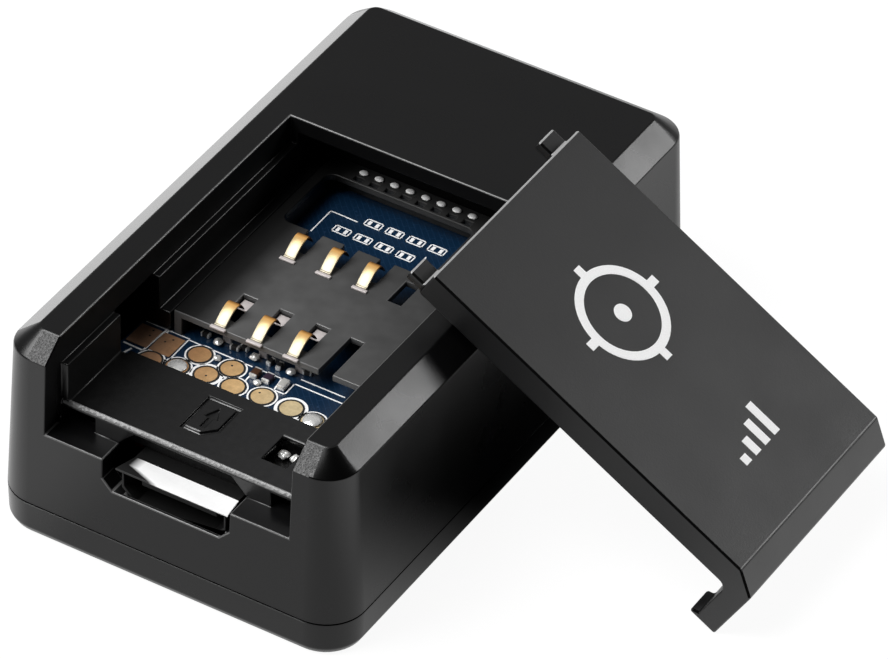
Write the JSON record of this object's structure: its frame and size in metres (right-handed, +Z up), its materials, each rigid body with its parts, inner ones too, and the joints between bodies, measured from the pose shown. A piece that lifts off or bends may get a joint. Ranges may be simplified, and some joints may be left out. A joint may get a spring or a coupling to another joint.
{
  "type": "gps tracker",
  "caption": "Pocket location tracker with its card cover off and leaning on the case, showing card contacts, board and charging socket",
  "frame": {"origin": "centre of the underside of the closed case, on the surface that the tracker lies on", "axes": "X across the case (the loose cover leans on the +X side), Y along the case from the charging socket to the back, Z up from the surface"},
  "size_m": [0.0434, 0.0412, 0.0182],
  "materials": {
    "case_plastic": "fine textured moulded plastic",
    "cover_plastic": "fine textured moulded plastic",
    "white_ink": "screen printed ink",
    "holder_plastic": "moulded high temperature plastic",
    "gold_contact": "gold plated spring metal",
    "tin_plate": "tin plated metal",
    "board_blue": "blue solder mask",
    "board_green": "green solder mask",
    "socket_metal": "drawn sheet steel",
    "cell_foil": "laminated foil pouch",
    "amber_film": "polyimide film",
    "foam": "closed cell foam",
    "magnet_nickel": "nickel plated magnet",
    "lead_red": "wire insulation",
    "lead_black": "wire insulation",
    "chip_black": "moulded package",
    "ceramic": "fired ceramic"
  },
  "bodies": {
    "case": {"upper_case": "case_plastic", "bottom_cover": "case_plastic", "card_holder": "holder_plastic", "contact_feet": "tin_plate", "reader_contacts": "tin_plate", "main_board": "board_blue", "test_pads": "gold_contact", "solder_joints": "tin_plate", "board_resistors": "chip_black", "usb_shell": "socket_metal", "usb_tongue": "chip_black", "usb_contacts": "gold_contact", "battery_cell": "cell_foil", "battery_board": "board_green", "battery_lead_red": "lead_red", "battery_lead_black": "lead_black", "insulation_sheet": "amber_film", "foam_pad": "foam", "magnet_front": "magnet_nickel", "magnet_rear": "magnet_nickel", "radio_shield": "tin_plate", "processor_chip": "chip_black", "power_chip": "chip_black", "crystal_can": "tin_plate", "ceramic_antenna": "ceramic", "antenna_electrode": "tin_plate", "flex_antenna": "amber_film", "antenna_spring": "gold_contact", "microphone": "tin_plate"},
    "cover": {"access_cover": "cover_plastic", "cover_print": "white_ink"},
    "contact_1": {"sim_contact_1": "gold_contact"},
    "contact_2": {"sim_contact_2": "gold_contact"},
    "contact_3": {"sim_contact_3": "gold_contact"},
    "contact_4": {"sim_contact_4": "gold_contact"},
    "contact_5": {"sim_contact_5": "gold_contact"},
    "contact_6": {"sim_contact_6": "gold_contact"}
  },
  "joints": [
    {"name": "cover_lift", "type": "slide", "parent": "case", "child": "cover", "axis": [0, 0, 1], "range_m": [0, 0.035]},
    {"name": "contact_1_press", "type": "hinge", "parent": "case", "child": "contact_1", "pos_m": [-0.00382, -0.00861, 0.01024], "axis": [1, 0, 0], "range_deg": [-24, 0], "stiffness_Nm_per_rad": 0.002},
    {"name": "contact_2_press", "type": "hinge", "parent": "case", "child": "contact_2", "pos_m": [-0.00128, -0.00861, 0.01024], "axis": [1, 0, 0], "range_deg": [-24, 0], "stiffness_Nm_per_rad": 0.002},
    {"name": "contact_3_press", "type": "hinge", "parent": "case", "child": "contact_3", "pos_m": [0.00126, -0.00861, 0.01024], "axis": [1, 0, 0], "range_deg": [-24, 0], "stiffness_Nm_per_rad": 0.002},
    {"name": "contact_4_press", "type": "hinge", "parent": "case", "child": "contact_4", "pos_m": [-0.00382, -0.00099, 0.01024], "axis": [1, 0, 0], "range_deg": [-24, 0], "stiffness_Nm_per_rad": 0.002},
    {"name": "contact_5_press", "type": "hinge", "parent": "case", "child": "contact_5", "pos_m": [-0.00128, -0.00099, 0.01024], "axis": [1, 0, 0], "range_deg": [-24, 0], "stiffness_Nm_per_rad": 0.002},
    {"name": "contact_6_press", "type": "hinge", "parent": "case", "child": "contact_6", "pos_m": [0.00126, -0.00099, 0.01024], "axis": [1, 0, 0], "range_deg": [-24, 0], "stiffness_Nm_per_rad": 0.002}
  ]
}
